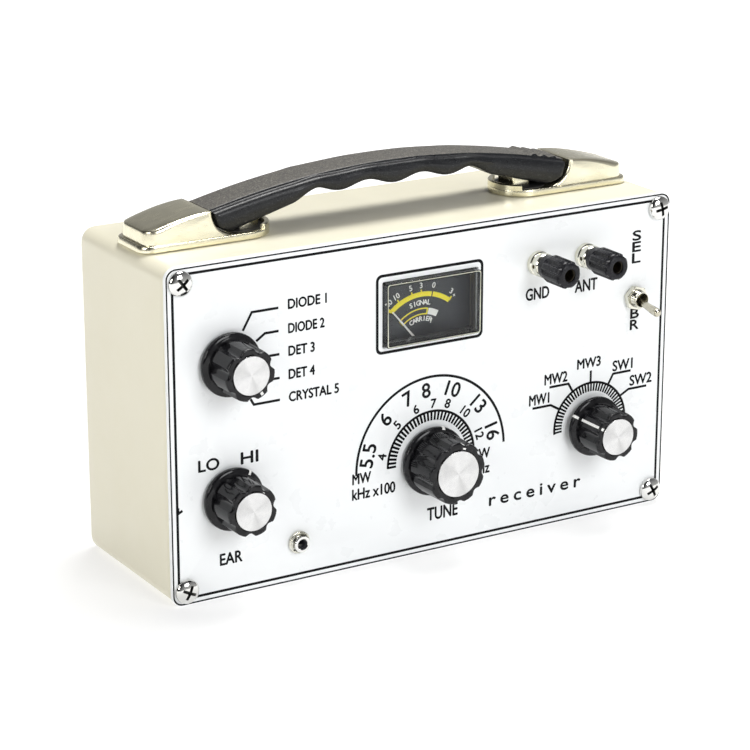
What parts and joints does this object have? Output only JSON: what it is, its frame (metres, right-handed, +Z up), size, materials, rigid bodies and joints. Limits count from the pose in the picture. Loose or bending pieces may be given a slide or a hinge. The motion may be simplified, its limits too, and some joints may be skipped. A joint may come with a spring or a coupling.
{
  "type": "crystal radio set",
  "caption": "Portable crystal radio set: cream steel case, white front panel with dials, level meter, fluted knobs, toggle, jack and binding posts, and a strap handle.",
  "frame": {"origin": "middle of the bounding box, on the ground under the case", "axes": "+X to the right along the front panel, +Y into the case away from the panel, +Z up"},
  "size_m": [0.2, 0.086, 0.1359],
  "materials": {
    "cream_paint": "satin cream enamel on sheet steel",
    "panel_white": "smooth white panel with black printing",
    "bright_chrome": "bright plated",
    "nickel_plate": "worn nickel plate, warm tint",
    "grip_black": "satin black moulded grip",
    "spring_steel": "bare",
    "knob_black": "gloss black",
    "spun_aluminium": "turned face",
    "zinc_steel": "zinc plated",
    "brass": "nickel-free brass",
    "switch_plastic": "moulded",
    "clear_window": "clear moulded plastic",
    "dial_plate": "dark blue-grey with yellow and white scale",
    "needle_white": "painted white",
    "meter_housing": "moulded",
    "post_collar": "translucent moulded plastic",
    "plate_aluminium": "sheared plates",
    "ferrite": "sintered ferrite",
    "litz_winding": "silk-covered wire on a paper former",
    "rod_holder": "moulded",
    "transformer_core": "laminated core with taped winding",
    "board_laminate": "paper laminate"
  },
  "bodies": {
    "root": {"case_shell": "cream_paint", "front_panel": "panel_white", "panel_screw_1": "bright_chrome", "panel_screw_2": "bright_chrome", "panel_screw_3": "bright_chrome", "panel_screw_4": "bright_chrome", "handle_bracket_left": "nickel_plate", "handle_bracket_right": "nickel_plate", "bracket_screw_1": "zinc_steel", "bracket_screw_2": "zinc_steel", "bracket_screw_3": "zinc_steel", "bracket_screw_4": "zinc_steel", "tuning_stator": "plate_aluminium", "capacitor_frame": "plate_aluminium", "diode_switch_body": "switch_plastic", "diode_switch_nut": "zinc_steel", "phones_switch_body": "switch_plastic", "phones_switch_nut": "zinc_steel", "band_switch_body": "switch_plastic", "band_switch_nut": "zinc_steel", "meter_window": "clear_window", "meter_dial": "dial_plate", "meter_housing": "meter_housing", "toggle_body": "zinc_steel", "toggle_nut": "zinc_steel", "phone_jack_body": "nickel_plate", "phone_jack_nut": "nickel_plate", "ground_post_collar": "post_collar", "ground_post_stud": "brass", "antenna_post_collar": "post_collar", "antenna_post_stud": "brass", "ferrite_rod": "ferrite", "antenna_coil": "litz_winding", "rod_holder_left": "rod_holder", "rod_holder_right": "rod_holder", "matching_transformer": "transformer_core", "diode_board": "board_laminate"},
    "tuning": {"tuning_knob": "knob_black", "tuning_knob_cap": "spun_aluminium", "tuning_shaft": "brass", "tuning_rotor": "plate_aluminium"},
    "diode_selector": {"diode_knob": "knob_black", "diode_knob_cap": "spun_aluminium", "diode_switch_shaft": "plate_aluminium"},
    "phones_selector": {"phones_knob": "knob_black", "phones_knob_cap": "spun_aluminium", "phones_switch_shaft": "plate_aluminium"},
    "band_selector": {"band_knob": "knob_black", "band_knob_cap": "spun_aluminium", "band_switch_shaft": "plate_aluminium"},
    "meter_pointer": {"meter_needle": "needle_white"},
    "toggle": {"toggle_lever": "bright_chrome"},
    "handle": {"handle_grip": "grip_black", "handle_core": "spring_steel", "handle_pin_left": "spring_steel", "handle_pin_right": "spring_steel"},
    "ground_insert": {"ground_post_insert": "brass"},
    "ground_cap": {"ground_post_cap": "knob_black"},
    "antenna_insert": {"antenna_post_insert": "brass"},
    "antenna_cap": {"antenna_post_cap": "knob_black"}
  },
  "joints": [
    {"name": "tuning_turn", "type": "hinge", "parent": "root", "child": "tuning", "pos_m": [0.0006, -0.032, 0.0338], "axis": [0, -1, 0], "range_deg": [-74.5, 105.5]},
    {"name": "diode_select", "type": "hinge", "parent": "root", "child": "diode_selector", "pos_m": [-0.0777, -0.032, 0.0814], "axis": [0, -1, 0], "range_deg": [0, 120]},
    {"name": "phones_select", "type": "hinge", "parent": "root", "child": "phones_selector", "pos_m": [-0.0775, -0.032, 0.0348], "axis": [0, -1, 0], "range_deg": [0, 60]},
    {"name": "band_select", "type": "hinge", "parent": "root", "child": "band_selector", "pos_m": [0.0674, -0.032, 0.0351], "axis": [0, -1, 0], "range_deg": [-120, 0]},
    {"name": "meter_swing", "type": "hinge", "parent": "root", "child": "meter_pointer", "pos_m": [0.0001, -0.018, 0.0733], "axis": [0, -1, 0], "range_deg": [-80, 0], "stiffness_Nm_per_rad": 0.00002, "springref_deg": 17.19},
    {"name": "toggle_throw", "type": "hinge", "parent": "root", "child": "toggle", "pos_m": [0.0854, -0.023, 0.0794], "axis": [1, 0, 0], "range_deg": [-20, 0]},
    {"name": "handle_lift", "type": "slide", "parent": "root", "child": "handle", "axis": [0, 0, 1], "range_m": [0, 0.002]},
    {"name": "ground_travel", "type": "slide", "parent": "root", "child": "ground_insert", "axis": [0, -1, 0], "range_m": [0, 0.0042]},
    {"name": "ground_spin", "type": "hinge", "parent": "ground_insert", "child": "ground_cap", "pos_m": [0.0435, -0.036, 0.098], "axis": [0, -1, 0], "range_deg": [0, 2160]},
    {"name": "antenna_travel", "type": "slide", "parent": "root", "child": "antenna_insert", "axis": [0, -1, 0], "range_m": [0, 0.0042]},
    {"name": "antenna_spin", "type": "hinge", "parent": "antenna_insert", "child": "antenna_cap", "pos_m": [0.0635, -0.036, 0.098], "axis": [0, -1, 0], "range_deg": [0, 2160]}
  ],
  "couplings": [
    {"joint": "ground_spin", "follows": "ground_travel", "rad_per_m": 8976},
    {"joint": "antenna_spin", "follows": "antenna_travel", "rad_per_m": 8976}
  ]
}
